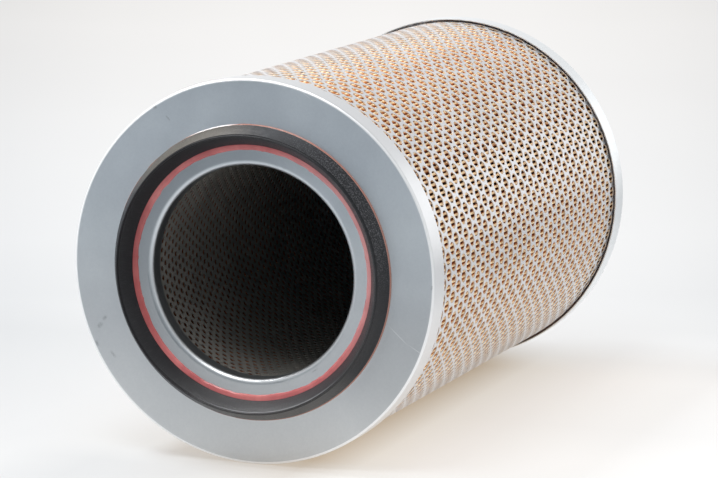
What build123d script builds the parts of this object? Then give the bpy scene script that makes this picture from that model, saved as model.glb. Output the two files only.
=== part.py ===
"""Compressed air filter element: a pleated paper cartridge between two pressed steel end caps.

The element lies on its side. Its axis is Y, the open end faces -Y and +Z is up. The origin is
on the axis, in the plane of the gasket's sealing crest. Profiles of revolution are drawn in the
XY plane, with X as the radius and Y along the axis.
"""

from build123d import *
from math import cos, pi, sin
import os

# Driving dimensions, in millimetres
cap_diameter = 195.0
length = 307.0  # face to face over the two caps, without the gasket
bore_diameter = 108.0
sheet = 0.5  # steel of the caps, the cage and the liner
skirt_length = 14.0
rim_bend = 1.2  # outside radius where a cap's face turns into its skirt
bore_bend = 2.9  # outside radius where the open face turns into the collar
collar_depth = 9.0

cage_gap = 1.25  # between the cage and the inside of a cap's skirt
liner_radius = 58.0  # middle of the liner's wall
seam_width = 10.0  # lap where a rolled sheet is joined to itself

potting_depth = 6.0
tube_bedding = 4.0  # how deep the cage and the liner sit in the potting

pleat_count = 226
pleat_tip_radius = 94.4
pleat_root_radius = 59.6
paper = 0.4
tip_width = 1.6  # across a pleat at the outside of the pack
root_width = 1.2  # across a pleat at the inside of the pack
seam_glue_inset = 3.0  # glue that closes the pack stays this far from tips and roots

gasket_inner_radius = 64.7
gasket_outer_radius = 74.5
gasket_height = 9.0  # crest above the open cap's face
gasket_crest_radius = 69.8
gasket_crest_width = 1.8
gasket_foot = 1.2  # straight edge at the gasket's base
gasket_rounding = 0.5
glue_thickness = 0.3
glue_inner_bead = 3.0  # squeezed out towards the bore
glue_outer_bead = 0.6  # squeezed out towards the rim

recess_radius = 50.0  # shallow recess that stiffens the closed cap
recess_depth = 2.0
recess_bend = 1.0

# Derived radii
cap_radius = cap_diameter / 2
skirt_inner_radius = cap_radius - sheet
bore_radius = bore_diameter / 2
collar_outer_radius = bore_radius + sheet
cage_outer_radius = skirt_inner_radius - cage_gap
cage_inner_radius = cage_outer_radius - sheet
liner_outer_radius = liner_radius + sheet / 2
liner_inner_radius = liner_radius - sheet / 2

# Derived places along the axis, from the open end to the closed one
open_face = gasket_height
near_potting_face = open_face + sheet + potting_depth
near_tube_end = near_potting_face - tube_bedding
closed_face = open_face + length
far_potting_face = closed_face - sheet - potting_depth
far_tube_end = far_potting_face + tube_bedding
recess_face = closed_face - recess_depth

os.makedirs("parts", exist_ok=True)


def save(piece, node):
    piece.part.label = node
    export_step(piece.part, f"parts/{node}.step")
    print(f"{node}: {piece.part.volume:.0f} mm3, {len(piece.part.solids())} solid")


def corner(sketch, radius, depth):
    """The corner of a profile that stands at this radius and this place along the axis."""
    return sketch.vertices().sort_by_distance((radius, depth, 0))[0]


def cross_section(depth):
    """The plane across the axis at this place, with X to the right and Z up."""
    return Plane.XZ.offset(-depth)


# Open end cap: a flat ring with a skirt outside and a collar turned in around the bore
with BuildPart() as open_end_cap:
    with BuildSketch(Plane.XY) as open_section:
        with BuildLine():
            Polyline(
                (bore_radius, open_face),
                (cap_radius, open_face),
                (cap_radius, open_face + skirt_length),
                (skirt_inner_radius, open_face + skirt_length),
                (skirt_inner_radius, open_face + sheet),
                (collar_outer_radius, open_face + sheet),
                (collar_outer_radius, open_face + collar_depth),
                (bore_radius, open_face + collar_depth),
                close=True,
            )
        make_face()
        fillet(corner(open_section, cap_radius, open_face), rim_bend)
        fillet(corner(open_section, skirt_inner_radius, open_face + sheet), rim_bend - sheet)
        fillet(corner(open_section, bore_radius, open_face), bore_bend)
        fillet(corner(open_section, collar_outer_radius, open_face + sheet), bore_bend - sheet)
    revolve(axis=Axis.Y)
save(open_end_cap, "open_end_cap")

# Closed end cap: the same skirt, a whole face, and a shallow recess that stiffens its middle
with BuildPart() as closed_end_cap:
    with BuildSketch(Plane.XY) as closed_section:
        with BuildLine():
            Polyline(
                (0, recess_face),
                (recess_radius, recess_face),
                (recess_radius, closed_face),
                (cap_radius, closed_face),
                (cap_radius, closed_face - skirt_length),
                (skirt_inner_radius, closed_face - skirt_length),
                (skirt_inner_radius, closed_face - sheet),
                (recess_radius + sheet, closed_face - sheet),
                (recess_radius + sheet, recess_face - sheet),
                (0, recess_face - sheet),
                close=True,
            )
        make_face()
        fillet(corner(closed_section, cap_radius, closed_face), rim_bend)
        fillet(corner(closed_section, skirt_inner_radius, closed_face - sheet), rim_bend - sheet)
        fillet(corner(closed_section, recess_radius, closed_face), recess_bend)
        fillet(corner(closed_section, recess_radius + sheet, recess_face - sheet), recess_bend)
    revolve(axis=Axis.Y)
save(closed_end_cap, "closed_end_cap")

# Gasket: a rubber ring of near-triangular section with a narrow flat crest
gasket_base = open_face - glue_thickness
with BuildPart() as gasket:
    with BuildSketch(Plane.XY) as gasket_section:
        with BuildLine():
            Polyline(
                (gasket_inner_radius, gasket_base),
                (gasket_outer_radius, gasket_base),
                (gasket_outer_radius, gasket_base - gasket_foot),
                (gasket_crest_radius + gasket_crest_width / 2, 0),
                (gasket_crest_radius - gasket_crest_width / 2, 0),
                (gasket_inner_radius, gasket_base - gasket_foot),
                close=True,
            )
        make_face()
        fillet(gasket_section.vertices().group_by(Axis.Y)[0], gasket_rounding)
    revolve(axis=Axis.Y)
save(gasket, "gasket")

# Gasket adhesive: a thin bed under the gasket, squeezed out into a bead along each edge
with BuildPart() as gasket_adhesive:
    with BuildSketch(Plane.XY):
        with BuildLine():
            bead_inner_edge = (gasket_inner_radius - glue_inner_bead, open_face)
            bead_outer_edge = (gasket_outer_radius + glue_outer_bead, open_face)
            Polyline(
                bead_inner_edge,
                (gasket_inner_radius, gasket_base),
                (gasket_outer_radius, gasket_base),
                bead_outer_edge,
                close=True,
            )
        make_face()
    revolve(axis=Axis.Y)
save(gasket_adhesive, "gasket_adhesive")

# Cage and liner: tubes rolled from sheet, each with the lap of its seam along the underside
tubes = {
    "outer_cage": (cage_outer_radius, cage_inner_radius),
    "inner_liner": (liner_outer_radius, liner_inner_radius),
}
for node, (outer_radius, inner_radius) in tubes.items():
    with BuildPart() as tube:
        with BuildSketch(cross_section(near_tube_end)):
            Circle(outer_radius)
            Circle(inner_radius, mode=Mode.SUBTRACT)
        extrude(amount=near_tube_end - far_tube_end)
        with BuildSketch(cross_section(near_potting_face)):
            Circle(outer_radius + sheet)
            with Locations((0, -outer_radius)):
                Rectangle(seam_width, outer_radius, mode=Mode.INTERSECT)
            Circle(outer_radius - sheet / 2, mode=Mode.SUBTRACT)
        extrude(amount=near_potting_face - far_potting_face)
    save(tube, node)


# Potting: a ring of cured sealant in each cap that holds the ends of the cage and the liner
pottings = {
    "open_end_potting": (open_face + sheet, near_potting_face),
    "closed_end_potting": (closed_face - sheet, far_potting_face),
}
for node, (cap_side, media_side) in pottings.items():
    with BuildPart() as ring:
        with BuildSketch(Plane.XY) as ring_section:
            with BuildLine():
                Polyline(
                    (collar_outer_radius, cap_side),
                    (skirt_inner_radius, cap_side),
                    (skirt_inner_radius, media_side),
                    (collar_outer_radius, media_side),
                    close=True,
                )
            make_face()
            fillet(corner(ring_section, skirt_inner_radius, cap_side), rim_bend - sheet)
            if node == "open_end_potting":
                fillet(corner(ring_section, collar_outer_radius, cap_side), bore_bend - sheet)
        revolve(axis=Axis.Y)
        with BuildSketch(cross_section(media_side)):
            for outer_radius, inner_radius in tubes.values():
                Circle(outer_radius)
                Circle(inner_radius, mode=Mode.SUBTRACT)
        towards_cap = tube_bedding if cap_side < media_side else -tube_bedding
        extrude(amount=towards_cap, mode=Mode.SUBTRACT)
    save(ring, node)


def on_circle(radius, angle):
    return (radius * cos(angle), radius * sin(angle))


# Pleated media: one sheet of paper folded into a closed ring of pleats
pleat_pitch = 2 * pi / pleat_count
first_pleat = -pi / 2
tip_half_angle = tip_width / 2 / pleat_tip_radius
tip_inner_half_angle = (tip_width / 2 - paper) / pleat_tip_radius
root_half_angle = root_width / 2 / pleat_root_radius
root_inner_half_angle = (root_width / 2 - paper) / pleat_root_radius
outline = []
bore_outline = []
for pleat in range(pleat_count):
    tip = first_pleat + pleat * pleat_pitch
    root = tip + pleat_pitch / 2
    outline += [
        on_circle(pleat_tip_radius, tip - tip_half_angle),
        on_circle(pleat_tip_radius, tip + tip_half_angle),
        on_circle(pleat_root_radius + paper, root - root_inner_half_angle),
        on_circle(pleat_root_radius + paper, root + root_inner_half_angle),
    ]
    bore_outline += [
        on_circle(pleat_tip_radius - paper, tip - tip_inner_half_angle),
        on_circle(pleat_tip_radius - paper, tip + tip_inner_half_angle),
        on_circle(pleat_root_radius, root - root_half_angle),
        on_circle(pleat_root_radius, root + root_half_angle),
    ]

with BuildPart() as pleated_media:
    with BuildSketch(cross_section(near_potting_face)):
        with BuildLine():
            Polyline(*outline, close=True)
        make_face()
        with BuildLine():
            Polyline(*bore_outline, close=True)
        make_face(mode=Mode.SUBTRACT)
    extrude(amount=near_potting_face - far_potting_face)
save(pleated_media, "pleated_media")

# Seam glue: fills the gap between the first and the last pleat and closes the pack
flank = Vector(*outline[1]), Vector(*outline[2])
next_flank = Vector(*outline[4]), Vector(*outline[3])
inset = seam_glue_inset / (pleat_tip_radius - pleat_root_radius)
with BuildPart() as media_seam_glue:
    with BuildSketch(cross_section(near_potting_face)):
        with BuildLine():
            Polyline(
                flank[0] + (flank[1] - flank[0]) * inset,
                flank[1] + (flank[0] - flank[1]) * inset,
                next_flank[1] + (next_flank[0] - next_flank[1]) * inset,
                next_flank[0] + (next_flank[1] - next_flank[0]) * inset,
                close=True,
            )
        make_face()
    extrude(amount=near_potting_face - far_potting_face)
save(media_seam_glue, "media_seam_glue")
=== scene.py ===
"""Looks for the compressed air filter element: real perforations, folded paper, rubber and glue."""

from math import cos, pi, radians, sin

import bpy
import numpy as np
from mathutils import Matrix, Vector, noise


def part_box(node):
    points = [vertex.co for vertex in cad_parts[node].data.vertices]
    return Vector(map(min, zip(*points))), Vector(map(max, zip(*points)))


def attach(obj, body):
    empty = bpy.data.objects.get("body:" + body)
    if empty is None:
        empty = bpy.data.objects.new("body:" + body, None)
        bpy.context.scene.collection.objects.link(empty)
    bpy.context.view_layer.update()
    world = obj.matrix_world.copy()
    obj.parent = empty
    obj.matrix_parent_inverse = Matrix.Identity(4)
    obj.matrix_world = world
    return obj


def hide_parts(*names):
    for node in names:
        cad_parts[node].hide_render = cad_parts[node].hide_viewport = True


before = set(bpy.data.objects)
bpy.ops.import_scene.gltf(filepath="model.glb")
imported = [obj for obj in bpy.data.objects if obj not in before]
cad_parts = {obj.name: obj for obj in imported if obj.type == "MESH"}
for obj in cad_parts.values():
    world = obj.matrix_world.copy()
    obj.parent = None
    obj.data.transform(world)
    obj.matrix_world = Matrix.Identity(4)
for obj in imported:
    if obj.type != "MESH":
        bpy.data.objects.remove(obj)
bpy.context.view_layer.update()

MM = 0.001

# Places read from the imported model. The axis is Y, the open end faces -Y, and +Z is up
cap_low, cap_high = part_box("open_end_cap")
cage_low, cage_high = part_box("outer_cage")
liner_low, liner_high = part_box("inner_liner")
media_low, media_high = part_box("pleated_media")

CAP_R = cap_high.x
OPEN_FACE = cap_low.y
CLOSED_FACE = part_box("closed_end_cap")[1].y
LAP_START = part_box("open_end_potting")[1].y
LAP_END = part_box("closed_end_potting")[0].y
GASKET_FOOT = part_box("gasket")[1].y
GLUE_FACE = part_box("gasket_adhesive")[1].y
MEDIA_TIP_R = media_high.x

# Sizes that the boxes don't give
SHEET = 0.5 * MM
LAP_WIDTH = 10 * MM
PAPER_SHEET = 0.4 * MM
BORE_R = 54 * MM
MEDIA_ROOT_R = 59.6 * MM
GASKET_INNER_R, CREST_R, GASKET_OUTER_R = 64.7 * MM, 69.9 * MM, 74.5 * MM


# ---------------------------------------------------------------- mesh helpers

def new_piece(name, verts, faces, material, node, slot, smooth_angle=35):
    """A mesh piece that rides on the one body and stands for a CAD node."""
    mesh = bpy.data.meshes.new(name)
    mesh.from_pydata([tuple(v) for v in verts], [], [tuple(f) for f in faces])
    mesh.validate()
    mesh.polygons.foreach_set("use_smooth", [True] * len(mesh.polygons))
    mesh.set_sharp_from_angle(angle=radians(smooth_angle))
    mesh.materials.append(material)
    piece = bpy.data.objects.new(name, mesh)
    bpy.context.scene.collection.objects.link(piece)
    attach(piece, "root")
    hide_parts(node)
    return piece


def on_ring(radius, angle, y):
    """A point at this radius and angle about the axis. Angle 0 is +X and 90 degrees is up."""
    return (radius * cos(angle), y, radius * sin(angle))


def lathe(profile, segments, wobble=None):
    """Verts and faces of a closed profile of (radius, y) points turned about the Y axis."""
    verts = []
    for i in range(segments):
        angle = 2 * pi * i / segments
        for j, (radius, y) in enumerate(profile):
            if wobble:
                radius, y = wobble(j, angle, radius, y)
            verts.append(on_ring(radius, angle, y))
    n = len(profile)
    faces = []
    for i in range(segments):
        a, b = i * n, (i + 1) % segments * n
        for j in range(n):
            k = (j + 1) % n
            faces.append((a + j, b + j, b + k, a + k))
    return verts, faces


# ---------------------------------------------------------------- node helpers

class Nodes:
    """Short calls for building the nodes of a material or a world."""

    def __init__(self, owner, end, coordinates="Object"):
        owner.use_nodes = True
        self.owner = owner
        self.tree = owner.node_tree
        self.end = self.tree.nodes[end]
        self.place = self.add("ShaderNodeTexCoord").outputs[coordinates]

    def add(self, kind, **inputs):
        node = self.tree.nodes.new(kind)
        for key, value in inputs.items():
            self.set(node, key, value)
        return node

    def set(self, node, key, value):
        """Gives an input, by its name or place, a link or a plain value."""
        socket = node.inputs[key if isinstance(key, int) else key.replace("_", " ")]
        if isinstance(value, bpy.types.NodeSocket):
            self.tree.links.new(value, socket)
        elif socket.type == "RGBA":
            socket.default_value = (*value, 1)
        else:
            socket.default_value = value

    def math(self, operation, a, b=0.0, clamp=False):
        node = self.add("ShaderNodeMath")
        node.operation = operation
        node.use_clamp = clamp
        self.set(node, 0, a)
        self.set(node, 1, b)
        return node.outputs[0]

    def noise(self, scale, detail=4.0, roughness=0.55, stretch=None, at=None):
        vector = at or self.place
        if stretch:
            vector = self.add("ShaderNodeMapping", Vector=vector, Scale=stretch).outputs[0]
        return self.add("ShaderNodeTexNoise", Vector=vector, Scale=scale, Detail=detail,
                        Roughness=roughness).outputs[0]

    def ramp(self, factor, *stops):
        """A blend through (place, colour) stops. A single number stands for a grey."""
        node = self.add("ShaderNodeValToRGB", Fac=factor)
        elements = node.color_ramp.elements
        while len(elements) < len(stops):
            elements.new(0.5)
        for element, (position, colour) in zip(elements, stops):
            element.position = position
            if isinstance(colour, (int, float)):
                colour = (colour, colour, colour)
            element.color = (*colour, 1)
        return node.outputs[0]

    def mix(self, factor, a, b, blend="MIX"):
        node = self.add("ShaderNodeMix")
        node.data_type = "RGBA"
        node.blend_type = blend
        self.set(node, 0, factor)
        self.set(node, 6, a)
        self.set(node, 7, b)
        return node.outputs[2]

    def span(self, value, low, high, to_low=0.0, to_high=1.0, smooth=False):
        """Maps low to high onto to_low to to_high, and holds the ends beyond them."""
        node = self.add("ShaderNodeMapRange", Value=value, From_Min=low, From_Max=high,
                        To_Min=to_low, To_Max=to_high)
        if smooth:
            node.interpolation_type = "SMOOTHSTEP"
        return node.outputs[0]

    def band(self, value, start, full, fading, end, strength=1.0):
        """0 up to start, strength from full to fading, and 0 again from end."""
        rise = self.span(value, start, full, 0, strength)
        return self.math("MULTIPLY", rise, self.span(value, end, fading))

    def split(self, vector):
        return self.add("ShaderNodeSeparateXYZ", Vector=vector).outputs[:]

    def polar(self):
        """Radius and angle about the Y axis."""
        x, _, z = self.split(self.place)
        squares = self.math("ADD", self.math("MULTIPLY", x, x), self.math("MULTIPLY", z, z))
        return self.math("SQRT", squares), self.math("ARCTAN2", z, x)

    def facing(self, angle, degrees):
        """1 at this many degrees about the axis, falling to -1 on the opposite side."""
        return self.math("COSINE", self.math("SUBTRACT", angle, radians(degrees)))

    def vector(self, x, y, z):
        return self.add("ShaderNodeCombineXYZ", X=x, Y=y, Z=z).outputs[0]

    def bump(self, height, strength, distance, normal=None):
        node = self.add("ShaderNodeBump", Height=height, Strength=strength, Distance=distance)
        if normal:
            self.set(node, "Normal", normal)
        return node.outputs[0]

    def finish(self, **inputs):
        for key, value in inputs.items():
            self.set(self.end, key, value)
        return self.owner


def new_material(name):
    return Nodes(bpy.data.materials.new(name), "Principled BSDF")


# ---------------------------------------------------------------- sheet steel

# Marks on the open face: x, z, turn from level in degrees, length and width, in mm
GRIME = ((-83.8, -32.5, 50, 4.5, 3.0), (-81.0, -28.5, 45, 3.6, 2.4), (-85.6, -41.9, -65, 4.0, 2.2),
         (-51.8, 80.8, 20, 3.0, 2.6), (-44.7, 75.6, -45, 4.0, 1.2), (34.3, -46.8, 35, 5.0, 1.0),
         (14.0, -54.6, 12, 9.0, 0.9), (-72.0, 12.0, -70, 3.0, 1.4), (-76.5, -47.0, -50, 5.0, 2.0),
         (96.0, -1.0, 80, 3.0, 1.2))
SCRATCHES = ((78.5, -26.0, -42, 15.0, 0.7), (88.5, -33.0, -30, 12.0, 0.6),
             (30.0, 90.5, -35, 8.0, 0.7))


def mark(n, x, z, turn, length, width):
    """A soft-edged streak on the open face."""
    place = n.add("ShaderNodeMapping", Vector=n.place, Location=(-x * MM, 0, -z * MM)).outputs[0]
    place = n.add("ShaderNodeMapping", Vector=place, Rotation=(0, radians(turn), 0)).outputs[0]
    x, _, z = n.split(place)
    along = n.span(n.math("ABSOLUTE", x), length / 2 * MM, length / 6 * MM)
    across = n.span(n.math("ABSOLUTE", z), width / 2 * MM, 0.0)
    return n.math("MULTIPLY", along, across)


def marks(n, places):
    """All these marks as one mask."""
    mask = 0.0
    for place in places:
        mask = n.math("MAXIMUM", mask, mark(n, *place))
    return mask


def painted_gasket_shade(n, radius, angle):
    """Painted shade on the open cap: on the land inside the gasket, most to the left and upper left of
    the bore, in the bore's collar, and some outside the gasket at the lower right.
    """
    around = n.ramp(n.span(angle, -pi, pi), (0.0, 0.33), (0.17, 0.18), (0.42, 0.02), (0.63, 0.02),
                    (0.75, 0.28), (0.84, 0.37), (1.0, 0.33))
    land = n.band(radius, BORE_R + 1.5 * MM, BORE_R + 2.5 * MM, BORE_R + 10.5 * MM,
                  BORE_R + 11.5 * MM)
    collar = n.span(radius, BORE_R + 0.3 * MM, BORE_R + 0.1 * MM, 0, 0.5)
    lower_right = n.math("MULTIPLY", n.span(n.facing(angle, -28), 0.90, 0.99, 0, 0.14),
                         n.span(radius, GASKET_OUTER_R - 0.5 * MM, GASKET_OUTER_R + 2.5 * MM))
    painted_shade = n.math("MAXIMUM", n.math("MULTIPLY", around, land), collar)
    return n.math("MAXIMUM", painted_shade, lower_right)


def open_cap_marks_and_painted_light(n, colour, metal):
    """The open cap's colour and metal: painted shade near the gasket and bore and by height, a skirt
    painted paler, a painted highlight on the rim, and marks.
    """
    radius, angle = n.polar()
    # Painted shade: the steel is darkened almost to black in these patches
    colour = n.mix(painted_gasket_shade(n, radius, angle), colour, (0.0, 0.01, 0.02))
    _, _, height = n.split(n.place)
    # Painted shade and light by height: warmer and darker low down, cooler and a little brighter at
    # the top
    tint = n.ramp(n.span(height, -0.1, 0.06), (0.0, (0.95, 0.92, 0.885)),
                  (0.45, (0.87, 0.86, 0.85)), (0.75, (0.92, 0.935, 0.94)), (1.0, (1.0, 1.02, 1.035)))
    colour = n.mix(1.0, colour, tint, "MULTIPLY")
    # Painted light: the bend and skirt are painted a paler grey than the face
    bend = n.span(radius, CAP_R - 1.1 * MM, CAP_R - 0.5 * MM)
    colour = n.mix(bend, colour, (0.77, 0.775, 0.785))
    # Painted highlight: a near-white band on the rounded rim, which is also made less metallic
    rim = n.band(radius, CAP_R - 1.5 * MM, CAP_R - 1.1 * MM, CAP_R - 0.4 * MM, CAP_R - 0.05 * MM)
    colour = n.mix(rim, colour, (0.97, 0.975, 0.98))
    colour = n.mix(n.math("MULTIPLY", marks(n, SCRATCHES), 0.4), colour, (0.95, 0.95, 0.95))
    smear = n.span(n.noise(1100, detail=3), 0.38, 0.60, 0.18, 0.55)
    colour = n.mix(n.math("MULTIPLY", marks(n, GRIME), smear), colour, (0.16, 0.17, 0.18))
    return colour, n.span(rim, 0, 1, metal, 0.3)


def galvanised(name, light, dark, roughness, metal, with_marks_and_painted_light=False, face=None):
    """Satin zinc-coated sheet with a cloudy tone and fine rolling grain.

    The open cap's option adds its marks with painted shade and light, and a face tint darkens all but
    the rim, which keeps its painted pale tone.
    """
    n = new_material(name)
    clouds = n.noise(26, detail=5)
    grain = n.noise(900, detail=2, stretch=(1, 0.05, 1))
    speck = n.noise(2600, detail=2)
    tone = n.math("ADD", n.math("MULTIPLY", clouds, 0.75), n.math("MULTIPLY", grain, 0.25))
    colour = n.ramp(tone, (0.34, dark), (0.66, light))
    if with_marks_and_painted_light:
        colour, metal = open_cap_marks_and_painted_light(n, colour, metal)
    if face:
        within = n.span(n.polar()[0], CAP_R - 0.7 * MM, CAP_R - 1.5 * MM)
        colour = n.mix(within, colour, face, "MULTIPLY")
    rough = n.span(n.math("ADD", clouds, n.math("MULTIPLY", speck, 0.5)), 0.5, 1.0,
                   roughness - 0.05, roughness + 0.08)
    normal = n.bump(grain, 0.10, 0.05 * MM, n.bump(speck, 0.12, 0.03 * MM))
    return n.finish(Base_Color=colour, Metallic=metal, Roughness=rough, Normal=normal)


# ---------------------------------------------------------------- rubber, glue and paper

def rubber_dust_and_painted_highlight(n, colour, angle, outside, grain):
    """Dust on the outer slope, thickest and brownest towards its top at the upper left, with a painted
    highlight: the paleness peaks there, where the light falls.
    """
    top = n.span(n.facing(angle, 118), 0.72, 0.985, 0.04, 1.0)
    patches = n.span(n.noise(260), 0.40, 0.62, 0.45, 1.0)
    settled = n.math("ADD", patches, n.span(top, 0.5, 1.0), clamp=True)
    speckled = n.math("MULTIPLY", settled, n.span(grain, 0.35, 0.65, 0.5, 1.0))
    dust_with_painted_highlight = n.math("MULTIPLY", n.math("MULTIPLY", outside, top), speckled)
    dust = n.ramp(top, (0.3, (0.115, 0.115, 0.122)), (0.9, (0.138, 0.124, 0.104)))
    return n.mix(dust_with_painted_highlight, colour, dust)


def rubber_streaks_and_painted_light(n, colour, radius, angle, outside, streaks):
    """Paler rubber: painted light on the outer slope at the bottom, streaks, streaks painted paler at
    the bottom of the inner slope, flecks, and a painted highlight on the rib at the bottom.
    """
    # Painted light: the outer slope is painted paler at the bottom
    painted_underside_light = n.math("MULTIPLY", outside, n.span(n.facing(angle, -80), 0.75, 0.95, 0.0, 0.55))
    colour = n.mix(painted_underside_light, colour, (0.16, 0.155, 0.15))
    colour = n.mix(n.span(streaks, 0.50, 0.68, 0.0, 0.35), colour, (0.045, 0.045, 0.050))
    low = n.span(n.facing(angle, -80), 0.80, 0.97)
    # Real moulding streaks with painted light: they are painted paler only at the bottom of the inner
    # slope
    inside = n.math("MULTIPLY", low, n.span(radius, CREST_R - 0.7 * MM, CREST_R - 1.1 * MM))
    streaked = n.math("MULTIPLY", inside, n.span(streaks, 0.38, 0.62, 0.1, 0.7))
    colour = n.mix(streaked, colour, (0.038, 0.038, 0.042))
    right = n.span(n.facing(angle, 35), 0.75, 0.97)
    flecks = n.math("MULTIPLY", n.span(n.noise(1700, detail=2), 0.50, 0.66, 0.0, 0.6), right)
    colour = n.mix(n.math("MULTIPLY", flecks, outside), colour, (0.17, 0.17, 0.18))
    # Painted highlight: a pale line along the inner side of the rib at the bottom, where it faces the
    # light
    off_edge = n.math("ABSOLUTE", n.math("SUBTRACT", radius, CREST_R - 0.65 * MM))
    edge = n.math("MULTIPLY", n.span(off_edge, 0.22 * MM, 0.1 * MM), low)
    return n.mix(edge, colour, (0.30, 0.30, 0.31))


def rubber(name):
    """Black rubber with fine moulding streaks, dust and flecks, painted light and highlights, and a
    painted sheen, strongest at the lower right.
    """
    n = new_material(name)
    radius, angle = n.polar()
    grain = n.noise(3200, detail=3, roughness=0.7)
    unrolled = n.vector(n.math("MULTIPLY", angle, 22.0), n.math("MULTIPLY", radius, 40.0), 0.0)
    streaks = n.noise(9, detail=3, at=unrolled)
    outside = n.span(radius, CREST_R + 0.7 * MM, CREST_R + 1.0 * MM)
    colour = rubber_dust_and_painted_highlight(n, (0.010, 0.010, 0.012), angle, outside, grain)
    colour = rubber_streaks_and_painted_light(n, colour, radius, angle, outside, streaks)
    # Painted sheen: the specular level is raised towards the lower right and more on the inner slope
    around = n.span(n.facing(angle, -30), -0.9, 0.9, 0.28, 0.78)
    slope = n.span(radius, CREST_R - 0.2 * MM, CREST_R + 0.4 * MM, 1.25, 0.62)
    rough = n.math("ADD", n.span(grain, 0.3, 0.7, 0.28, 0.42),
                   n.span(streaks, 0.35, 0.65, 0.0, 0.12))
    pores = n.bump(n.noise(1500, detail=2), 0.5, 0.2 * MM)
    normal = n.bump(grain, 0.4, 0.1 * MM, n.bump(streaks, 0.3, 0.1 * MM, pores))
    return n.finish(Base_Color=colour, Roughness=rough,
                    Specular_IOR_Level=n.math("MULTIPLY", around, slope), Normal=normal)


def glue(name):
    """Glossy red adhesive, deeper where it is thick and paler where it thins out at its edge, with
    painted shade on the left and on the outer bead, painted light on the right, and a painted
    highlight at the upper left.
    """
    n = new_material(name)
    radius, angle = n.polar()
    lumps = n.noise(420, detail=3)
    colour = n.ramp(n.noise(70, detail=3), (0.34, (0.44, 0.07, 0.075)),
                    (0.48, (0.55, 0.115, 0.12)), (0.66, (0.68, 0.19, 0.18)))
    thin = n.span(radius, GASKET_INNER_R + 0.3 * MM, GASKET_INNER_R - 0.7 * MM, 0.0, 0.2)
    colour = n.mix(thin, colour, (0.80, 0.34, 0.32))
    # Painted shade: the glue is darker on the left
    left = n.span(n.facing(angle, 187), 0.75, 0.97, 0.0, 0.6)
    colour = n.mix(left, colour, (0.27, 0.035, 0.035))
    # Painted light: the glue is paler on the right
    right = n.span(n.facing(angle, 20), 0.5, 0.95, 0.0, 0.42)
    colour = n.mix(right, colour, (0.85, 0.50, 0.50))
    # Painted shade: the outer bead is browner and darker than the rest of the glue
    outside = n.span(radius, GASKET_OUTER_R - 0.2 * MM, GASKET_OUTER_R + 0.1 * MM)
    colour = n.mix(outside, colour, (0.40, 0.20, 0.155))
    # Painted highlight: a near-white glint on the outer bead at the upper left
    painted_glint = n.math("MULTIPLY", outside, n.span(n.facing(angle, 106), 0.980, 0.996))
    colour = n.mix(painted_glint, colour, (0.98, 0.93, 0.91))
    return n.finish(Base_Color=colour, Roughness=n.span(lumps, 0.3, 0.7, 0.10, 0.26),
                    Normal=n.bump(lumps, 0.35, 0.2 * MM))


def paper(name):
    """Resin-impregnated filter paper with painted shade: pale at the fold, where light shows, and
    browner and darker down the flanks; the folds also glow faintly as painted light.
    """
    n = new_material(name)
    radius, _ = n.polar()
    fibre = n.noise(2200, stretch=(1, 0.35, 1))
    blotch = n.noise(120, detail=3)
    # Painted shade: the colour darkens with depth below the fold tips
    depth = n.span(radius, MEDIA_TIP_R - 4 * MM, MEDIA_TIP_R)
    colour = n.ramp(depth, (0.0, (0.32, 0.085, 0.02)), (0.58, (0.56, 0.165, 0.042)),
                    (0.80, (0.94, 0.49, 0.19)), (0.93, (1.0, 0.80, 0.52)))
    colour = n.mix(n.span(blotch, 0.4, 0.7, 0, 0.25), colour, (0.62, 0.27, 0.09))
    colour = n.mix(n.span(fibre, 0.35, 0.75, 0, 0.08), colour, (0.92, 0.74, 0.54))
    # Painted light: the paper glows faintly towards the fold tips
    return n.finish(Base_Color=colour, Roughness=0.85, Normal=n.bump(fibre, 0.5, 0.08 * MM),
                    Emission_Color=colour, Emission_Strength=n.span(depth, 0.86, 0.97, 0.0, 0.28))


CAP_STEEL = galvanised("galvanised_cap", (0.69, 0.725, 0.755), (0.61, 0.645, 0.68), 0.36, 0.9,
                       with_marks_and_painted_light=True)
CAGE_STEEL = galvanised("galvanised_cage", (0.77, 0.77, 0.785), (0.68, 0.68, 0.695), 0.42, 0.8)
# Painted light: the far cap's steel is much paler than the open cap's, and its face is tinted back
# down
FAR_STEEL_PAINTED_PALE = galvanised("galvanised_far_cap", (0.95, 0.97, 0.98), (0.84, 0.86, 0.87), 0.34, 0.9,
                       face=(0.68, 0.70, 0.72))
# Painted shade: the liner's steel is made dark for the shade inside the bore
LINER_STEEL_PAINTED_DARK = galvanised("galvanised_liner", (0.38, 0.36, 0.33), (0.27, 0.26, 0.24), 0.55, 0.5)
RUBBER = rubber("black_rubber")
GLUE = glue("red_glue")
PAPER = paper("filter_paper")


# ---------------------------------------------------------------- perforated sheet

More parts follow.
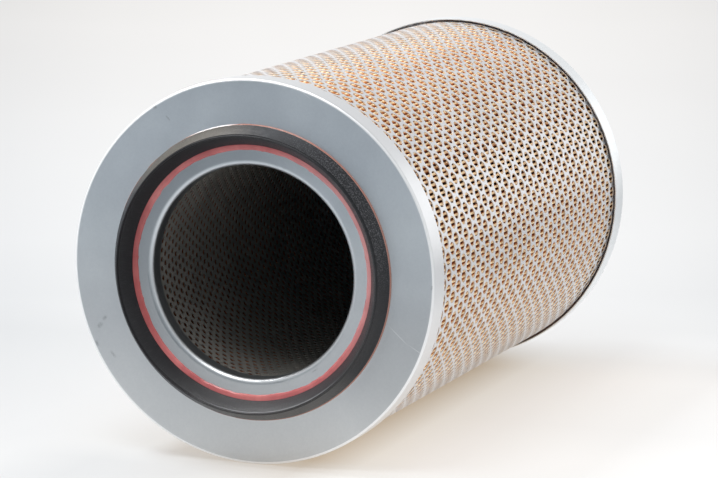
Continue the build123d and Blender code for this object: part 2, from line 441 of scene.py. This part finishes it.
class PerforatedTube:
    """A rolled sheet with staggered round holes, plain margins and a lap along its underside.

    Hole i of column j is i steps around and j pitches along. Odd columns are half a step
    further around, and skew turns each column a little more than the last.
    """

    SIDES = 12

    def __init__(self, outer_r, y_low, y_high, around, columns, pitch, hole_r, first,
                 phase=0.0, skew=0.0):
        self.outer_r = outer_r
        self.shells = (outer_r, outer_r - SHEET)
        self.ends = ((0, y_low), (columns - 1, y_high))
        self.around, self.columns = around, columns
        self.phase, self.skew = phase, skew
        self.verts, self.faces = [], []
        self.add_hole_points(hole_r, first, pitch)
        self.add_end_points()
        for shell in (0, 1):
            self.add_webs(shell)
            self.add_margins(shell)
        self.add_walls()
        self.add_lap()

    def turned_to(self, i, j):
        """The angle of hole i in column j."""
        return self.phase + (i + 0.5 * (j % 2)) * 2 * pi / self.around + self.skew * j

    def corner(self, shell, i, j, m):
        """Index of corner m of hole i in column j on this shell."""
        hole = (shell * self.columns + j) * self.around + i % self.around
        return hole * self.SIDES + m % self.SIDES

    def edge(self, shell, end, i):
        """Index of a point on a cut end: even ones lie in line with a hole's centre."""
        count = 2 * self.around
        return self.edge_start + (shell * 2 + end) * count + i % count

    def face(self, flip, *corners):
        self.faces.append(corners[::-1] if flip else corners)

    def add_hole_points(self, hole_r, first, pitch):
        for radius in self.shells:
            for j in range(self.columns):
                for i in range(self.around):
                    centre = self.turned_to(i, j)
                    for m in range(self.SIDES):
                        a = 2 * pi * m / self.SIDES
                        self.verts.append(on_ring(radius, centre + hole_r * cos(a) / self.outer_r,
                                                  first + j * pitch + hole_r * sin(a)))

    def add_end_points(self):
        self.edge_start = len(self.verts)
        for radius in self.shells:
            for j, y in self.ends:
                for i in range(2 * self.around):
                    self.verts.append(on_ring(radius, self.turned_to(i / 2, j), y))

    def add_webs(self, shell):
        """The sheet between the holes: strips from hole to hole, and triangles between them."""
        def web(*corners):
            self.face(not shell, *(self.corner(shell, *corner) for corner in corners))

        for j in range(self.columns):
            odd = j % 2
            for i in range(self.around):
                right, up_right, up_left = (i + 1, j), (i + odd, j + 1), (i - 1 + odd, j + 1)
                strips = [(right, 11, 7), (right, 12, 6)]
                if j < self.columns - 1:
                    strips += [(up_right, 1, 9), (up_right, 2, 8),
                               (up_left, 3, 11), (up_left, 4, 10)]
                    web((i, j, 1), (*right, 5), (*up_right, 9))
                    web((i, j, 3), (*up_right, 7), (*up_left, 11))
                for there, m, k in strips:
                    web((i, j, m), (*there, k), (*there, k - 1), (i, j, m + 1))

    def add_margins(self, shell):
        """The plain ends: fans of triangles from the outermost holes to the cut edges."""
        for end, (j, _) in enumerate(self.ends):
            nearest, turn = (3, -1) if end else (9, 1)
            flip = bool(end) == bool(shell)
            for i in range(self.around):
                left, below, right = (self.edge(shell, end, 2 * i + k) for k in (-1, 0, 1))
                a, b, c, d, e = (self.corner(shell, i, j, nearest + turn * k)
                                 for k in (-2, -1, 0, 1, 2))
                next_hole = self.corner(shell, i + 1, j, nearest - 2 * turn)
                for triangle in ((left, below, c), (left, c, b), (left, b, a), (below, right, c),
                                 (right, d, c), (right, e, d), (right, next_hole, e)):
                    self.face(flip, *triangle)

    def add_walls(self):
        """The sheet's thickness around the holes and at both ends."""
        for j in range(self.columns):
            for i in range(self.around):
                for m in range(self.SIDES):
                    self.face(False, self.corner(0, i, j, m), self.corner(0, i, j, m + 1),
                              self.corner(1, i, j, m + 1), self.corner(1, i, j, m))
        for end in (0, 1):
            for i in range(2 * self.around):
                self.face(not end, self.edge(0, end, i), self.edge(0, end, i + 1),
                          self.edge(1, end, i + 1), self.edge(1, end, i))

    def add_lap(self):
        """The plain strip where the rolled sheet laps over itself, between the potting beds."""
        steps = 6
        start = len(self.verts)
        half = LAP_WIDTH / 2 / self.outer_r
        for y in (LAP_START, LAP_END):
            for radius in (self.outer_r - SHEET / 2, self.outer_r + 0.95 * SHEET):
                for i in range(steps + 1):
                    angle = -pi / 2 + half * (2 * i / steps - 1)
                    self.verts.append(on_ring(radius, angle, y))

        def point(end, shell, i):
            return start + (end * 2 + shell) * (steps + 1) + i

        for i in range(steps):
            for shell in (0, 1):
                self.face(not shell, point(0, shell, i), point(1, shell, i),
                          point(1, shell, i + 1), point(0, shell, i + 1))
            for end in (0, 1):
                self.face(not end, point(end, 0, i), point(end, 0, i + 1),
                          point(end, 1, i + 1), point(end, 1, i))
        for i in (0, steps):
            self.face(bool(i), point(0, 0, i), point(1, 0, i), point(1, 1, i), point(0, 1, i))


CAGE_HOLES_AROUND = 74
cage = PerforatedTube(
    cage_high.x, cage_low.y, cage_high.y, CAGE_HOLES_AROUND, columns=39, pitch=7.17 * MM,
    hole_r=3.33 * MM, first=OPEN_FACE + 18.1 * MM, phase=-0.35 * 2 * pi / CAGE_HOLES_AROUND,
    skew=-0.00045)
new_piece("perforated_cage", cage.verts, cage.faces, CAGE_STEEL, "outer_cage", "cage_steel")

liner = PerforatedTube(
    liner_high.x, liner_low.y, liner_high.y, 75, columns=65, pitch=4.3 * MM,
    hole_r=1.5 * MM, first=OPEN_FACE + 15 * MM)
new_piece("perforated_liner", liner.verts, liner.faces, LINER_STEEL_PAINTED_DARK, "inner_liner",
          "liner_steel")


# ---------------------------------------------------------------- pleated paper

def fold(angle, radius, bend, turn_r, y):
    """The points of one rounded fold. A negative bend points towards the axis."""
    steps = 4
    turns = (pi * s / steps for s in range(steps + 1))
    return [on_ring(radius + bend * sin(a), angle - abs(bend) * cos(a) / turn_r, y) for a in turns]


def pleats(count, rings):
    """One sheet folded into a closed ring, with rounded folds that wander a little."""
    tip_bend, root_bend = 0.5 * MM, 0.4 * MM
    pitch = 2 * pi / count
    rng = np.random.default_rng(11)
    lean = rng.normal(0, 0.10, count) * MM / MEDIA_TIP_R
    reach = rng.normal(0, 0.12, count) * MM
    tip_r = MEDIA_TIP_R - PAPER_SHEET / 2
    root_r = MEDIA_ROOT_R + PAPER_SHEET / 2
    verts = []
    for ring in range(rings + 1):
        y = media_low.y + (media_high.y - media_low.y) * ring / rings
        for k in range(count):
            drift = 0.24 * MM * noise.noise(Vector((k * 0.35, y * 22, 3.1)))
            drift += 0.12 * MM * noise.noise(Vector((k * 5.3, y * 14, 8.4)))
            tip = -pi / 2 + k * pitch + lean[k] + drift / MEDIA_TIP_R
            root = -pi / 2 + (k + 0.5) * pitch
            verts += fold(tip, tip_r - abs(reach[k]) - tip_bend, tip_bend, tip_r, y)
            verts += fold(root, root_r + root_bend, -root_bend, root_r, y)
    around = len(verts) // (rings + 1)
    faces = []
    for ring in range(rings):
        a, b = ring * around, (ring + 1) * around
        for i in range(around):
            k = (i + 1) % around
            faces.append((a + i, b + i, b + k, a + k))
    return verts, faces


media = new_piece("folded_paper", *pleats(226, 14), PAPER, "pleated_media", "filter_paper",
                  smooth_angle=60)
thick = media.modifiers.new("thickness", "SOLIDIFY")
thick.thickness = PAPER_SHEET
thick.offset = 0


# ---------------------------------------------------------------- gasket and its glue

def arc(centre, radius, start, end, steps):
    turns = (radians(start + (end - start) * i / steps) for i in range(steps + 1))
    return [(centre[0] + radius * cos(a), centre[1] + radius * sin(a)) for a in turns]


def gasket_profile():
    """A tall ridge with a fine rib standing on its narrow crest."""
    inner, outer, foot = GASKET_INNER_R, GASKET_OUTER_R, GASKET_FOOT
    rib_r = 0.4 * MM
    return [
        (inner, foot), (outer, foot), (outer, foot - 0.9 * MM), (outer - 0.2 * MM, foot - 1.4 * MM),
        (CREST_R + 0.85 * MM, 1.35 * MM), (CREST_R + 0.45 * MM, 1.15 * MM),
        *arc((CREST_R, rib_r), rib_r, 0, -180, 12),
        (CREST_R - 0.45 * MM, 1.15 * MM), (CREST_R - 0.85 * MM, 1.35 * MM),
        (inner + 0.25 * MM, foot - 1.5 * MM), (inner, foot - 0.9 * MM),
    ]


new_piece("rubber_gasket", *lathe(gasket_profile(), 300), RUBBER, "gasket", "gasket_rubber",
          smooth_angle=20)


def glue_wander(j, angle, radius, y):
    """The free edges of the squeezed-out beads run unevenly, and their crowns are lumpy."""
    def wave(size, seed):
        return noise.noise(Vector((cos(angle) * size, sin(angle) * size, seed)))

    long_wave, short_wave, blob = wave(2.2, 0.5), wave(11, 4), wave(24, 9)
    if j < 3:
        edge = 0.45 * long_wave + 0.36 * short_wave - 0.5 * max(0, blob - 0.15)
        radius += edge * MM * (1 - j / 4)
    if j in (1, 2):
        y -= 0.12 * MM * (1 + wave(30, j)) + 0.25 * MM * max(0, blob - 0.1)
    if j > 5:
        shrink = max(0, 0.5 * long_wave + 0.3 * short_wave + 0.4 * cos(angle - 2.9) - 0.1)
        radius -= min(shrink, 0.5) * MM
    return radius, y


# Radius and height above the cap's face in mm, from the inner bead to the outer one
GLUE_SECTION = ((61.9, 0), (62.15, 0.35), (62.9, 0.75), (64.1, 0.95), (64.9, 1.0), (74.4, 1.2),
                (74.55, 1.1), (74.8, 0.75), (74.95, 0.3), (74.95, 0))
glue_profile = [(radius * MM, GLUE_FACE - height * MM) for radius, height in GLUE_SECTION]
new_piece("glue_bead", *lathe(glue_profile, 720, glue_wander), GLUE, "gasket_adhesive",
          "adhesive", smooth_angle=60)


# ---------------------------------------------------------------- CAD nodes that stay

for node, material in (("open_end_cap", CAP_STEEL), ("closed_end_cap", FAR_STEEL_PAINTED_PALE),
                       ("open_end_potting", GLUE), ("closed_end_potting", GLUE),
                       ("media_seam_glue", PAPER)):
    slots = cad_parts[node].data.materials
    slots.clear()
    slots.append(material)


# ---------------------------------------------------------------- camera

# The camera looks along the axis from the open end, turned to its left and a little down
YAW, PITCH = radians(21.65), radians(9.75)
SENSOR = 36
FOCAL_OVER_WIDTH = 4.89777
# From the camera to the middle of the open face: right, down and forward, in cap radii
FACE_FROM_CAMERA = (-0.55114, 0.17392, 17.96192)


def photo_camera():
    """The camera at the photograph's viewing angle."""
    right = Vector((cos(YAW), sin(YAW), 0))
    level = Vector((-sin(YAW), cos(YAW), 0))
    forward = cos(PITCH) * level - sin(PITCH) * Vector((0, 0, 1))
    up = right.cross(forward)
    across, down, away = FACE_FROM_CAMERA
    eye = Vector((0, OPEN_FACE, 0)) - CAP_R * (across * right - down * up + away * forward)
    data = bpy.data.cameras.new("camera")
    data.sensor_width = SENSOR
    data.lens = FOCAL_OVER_WIDTH * SENSOR
    camera = bpy.data.objects.new("camera", data)
    camera.matrix_world = Matrix((
        (right.x, up.x, -forward.x, eye.x),
        (right.y, up.y, -forward.y, eye.y),
        (right.z, up.z, -forward.z, eye.z),
        (0, 0, 0, 1)))
    bpy.context.scene.collection.objects.link(camera)
    bpy.context.scene.camera = camera


photo_camera()
bpy.context.scene.view_settings.view_transform = "Standard"


# ---------------------------------------------------------------- floor

def plane(name, size, z, material):
    half = size / 2
    mesh = bpy.data.meshes.new(name)
    mesh.from_pydata([(-half, -half, z), (half, -half, z), (half, half, z), (-half, half, z)],
                     [], [(0, 1, 2, 3)])
    mesh.materials.append(material)
    piece = bpy.data.objects.new(name, mesh)
    bpy.context.scene.collection.objects.link(piece)
    return piece


def floor_glow(n, beside, y):
    """How much the floor glows. The stretch in front sets what the open cap's face reflects."""
    turned = n.add("ShaderNodeMapping", Vector=n.place, Rotation=(0, 0, -YAW)).outputs[0]
    across, along, _ = n.split(turned)
    glow = n.ramp(n.span(along, -1.0, 2.0), (0.03, 0.34), (0.19, 0.50), (0.28, 0.71),
                  (0.34, 0.745), (0.44, 0.625), (0.49, 0.59), (0.56, 0.635), (1.0, 0.73))
    away = n.math("ADD", n.math("MAXIMUM", along, -0.1), 1.7)
    sideways = n.math("DIVIDE", n.math("SUBTRACT", across, 0.09), away)
    falloff = n.ramp(n.math("ABSOLUTE", sideways), (0.0, 0.0), (0.04, 0.016), (0.08, 0.064),
                     (0.12, 0.144), (0.17, 0.25), (0.24, 0.30), (0.4, 0.32))
    glow = n.math("SUBTRACT", glow, falloff)
    # Painted light lifts the floor to the right of the element, towards its far end, and a painted
    # shadow darkens it in front of the open cap
    lift = n.math("MULTIPLY", n.band(y, 0.15, 0.27, 0.31, 0.42, 0.075), n.span(beside, 0.44, 0.58))
    glow = n.math("ADD", glow, lift)
    shade = n.math("MULTIPLY", n.band(y, -0.30, -0.10, -0.01, 0.03, 0.11),
                   n.band(beside, 0.05, 0.16, 0.28, 0.38))
    return n.math("SUBTRACT", glow, shade)


def pale_floor():
    """A pale floor, warmer and darker in the soft shade beneath the element."""
    n = new_material("pale_floor")
    x, y, _ = n.split(n.place)
    beside = n.span(x, -0.15, 0.30)
    under = n.ramp(beside, (0.0, (0.80, 0.80, 0.80)), (0.2, (0.72, 0.71, 0.69)),
                   (0.39, (0.54, 0.46, 0.36)), (0.45, (0.81, 0.78, 0.73)),
                   (0.52, (0.89, 0.87, 0.85)), (0.62, (0.92, 0.91, 0.90)),
                   (0.72, (0.96, 0.96, 0.96)))
    beneath = n.band(y, -0.10, 0.03, 0.28, 0.36)
    tint = n.mix(beneath, (0.89, 0.89, 0.89), under)
    tone = n.ramp(n.noise(3, detail=2), (0.3, (0.225, 0.245, 0.265)), (0.7, (0.235, 0.255, 0.275)))
    return n.finish(Base_Color=tone, Roughness=0.8, Specular_IOR_Level=0.0,
                    Emission_Color=n.mix(1.0, tint, (1.0, 0.955, 0.91), "MULTIPLY"),
                    Emission_Strength=n.math("MULTIPLY", floor_glow(n, beside, y), 1.12))


floor = plane("floor", 30, -CAP_R, pale_floor())


# ---------------------------------------------------------------- light

def light_tent():
    """A pale room: white walls low down, dimmer overhead and in front of the open end (-Y)."""
    n = Nodes(bpy.data.worlds.new("studio"), "Background", "Generated")
    _, y, z = n.split(n.place)
    from_front = n.mix(n.span(y, -0.97, -0.5, smooth=True), (0.18, 0.23, 0.27), (0.98, 0.99, 1.0))
    from_low = n.mix(n.span(z, 0.35, 0.8, smooth=True), (1.0, 1.0, 1.0), (0.6, 0.6, 0.6))
    return n.finish(Color=n.mix(1.0, from_front, from_low, "MULTIPLY"), Strength=0.9)


def soft_light(name, size, power, place, target):
    """A square soft box at a place, facing the target, that no camera sees."""
    data = bpy.data.lights.new(name, "AREA")
    data.size = size
    data.energy = power
    lamp = bpy.data.objects.new(name, data)
    lamp.location = place
    lamp.rotation_euler = (Vector(target) - Vector(place)).to_track_quat("-Z", "Y").to_euler()
    lamp.visible_camera = False
    bpy.context.scene.collection.objects.link(lamp)


bpy.context.scene.world = light_tent()
soft_light("overhead", 1.0, 24, (-0.2, -0.85, 2.1), (0, 0.1, 0))
soft_light("upper_left", 0.55, 32, (-1.06, 0.04, 1.60), (0, 0.05, 0))
soft_light("back_right", 0.6, 0.9, (0.75, 1.25, 0.25), (0, CLOSED_FACE, 0))
